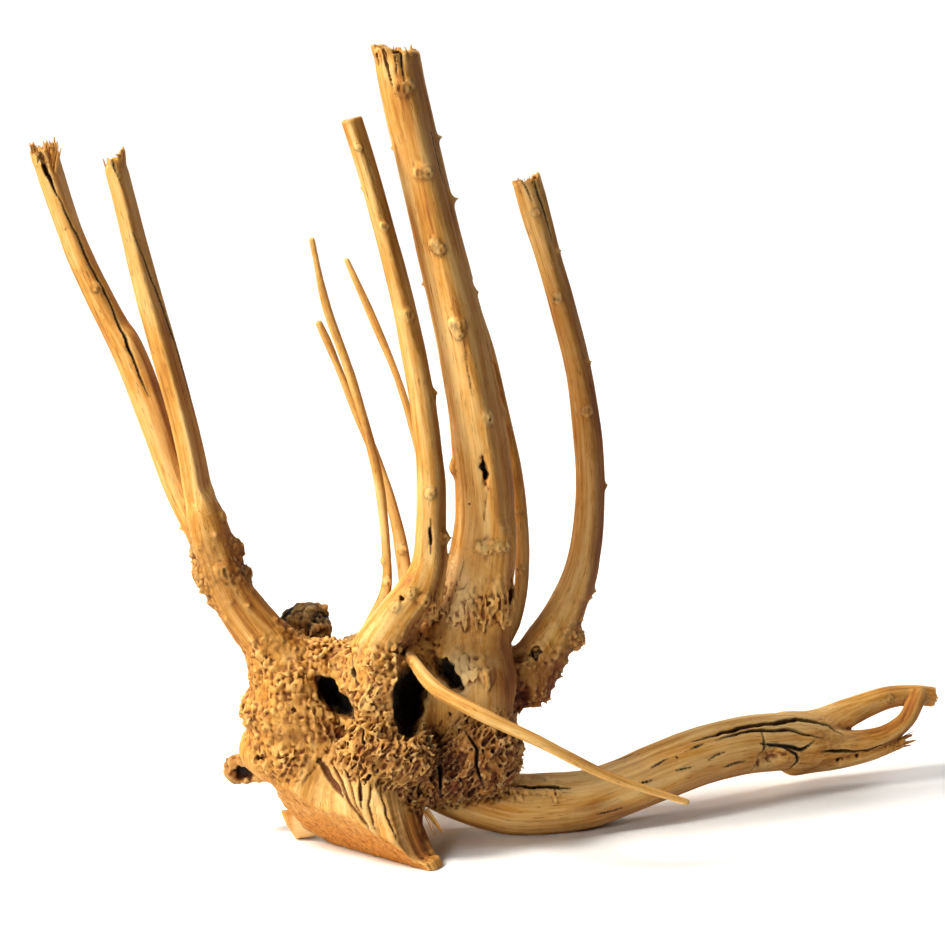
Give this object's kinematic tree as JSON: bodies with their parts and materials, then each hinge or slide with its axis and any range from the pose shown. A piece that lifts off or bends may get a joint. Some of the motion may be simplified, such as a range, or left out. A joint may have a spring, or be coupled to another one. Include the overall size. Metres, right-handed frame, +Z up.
{
  "type": "piece of driftwood",
  "caption": "Dug-up shrub root crown of bare weathered wood, with upright cut stems, thin twigs and one long root lying to the side.",
  "frame": {"origin": "centre of the bounding box's base, on the surface that the driftwood stands on", "axes": "+Z up, +X towards the long root's end, -Y towards the side with the free twig"},
  "size_m": [0.4162, 0.1679, 0.3514],
  "materials": {
    "bare_wood": "bare weathered wood, dull"
  },
  "bodies": {
    "root": {"driftwood": "bare_wood"}
  },
  "joints": []
}
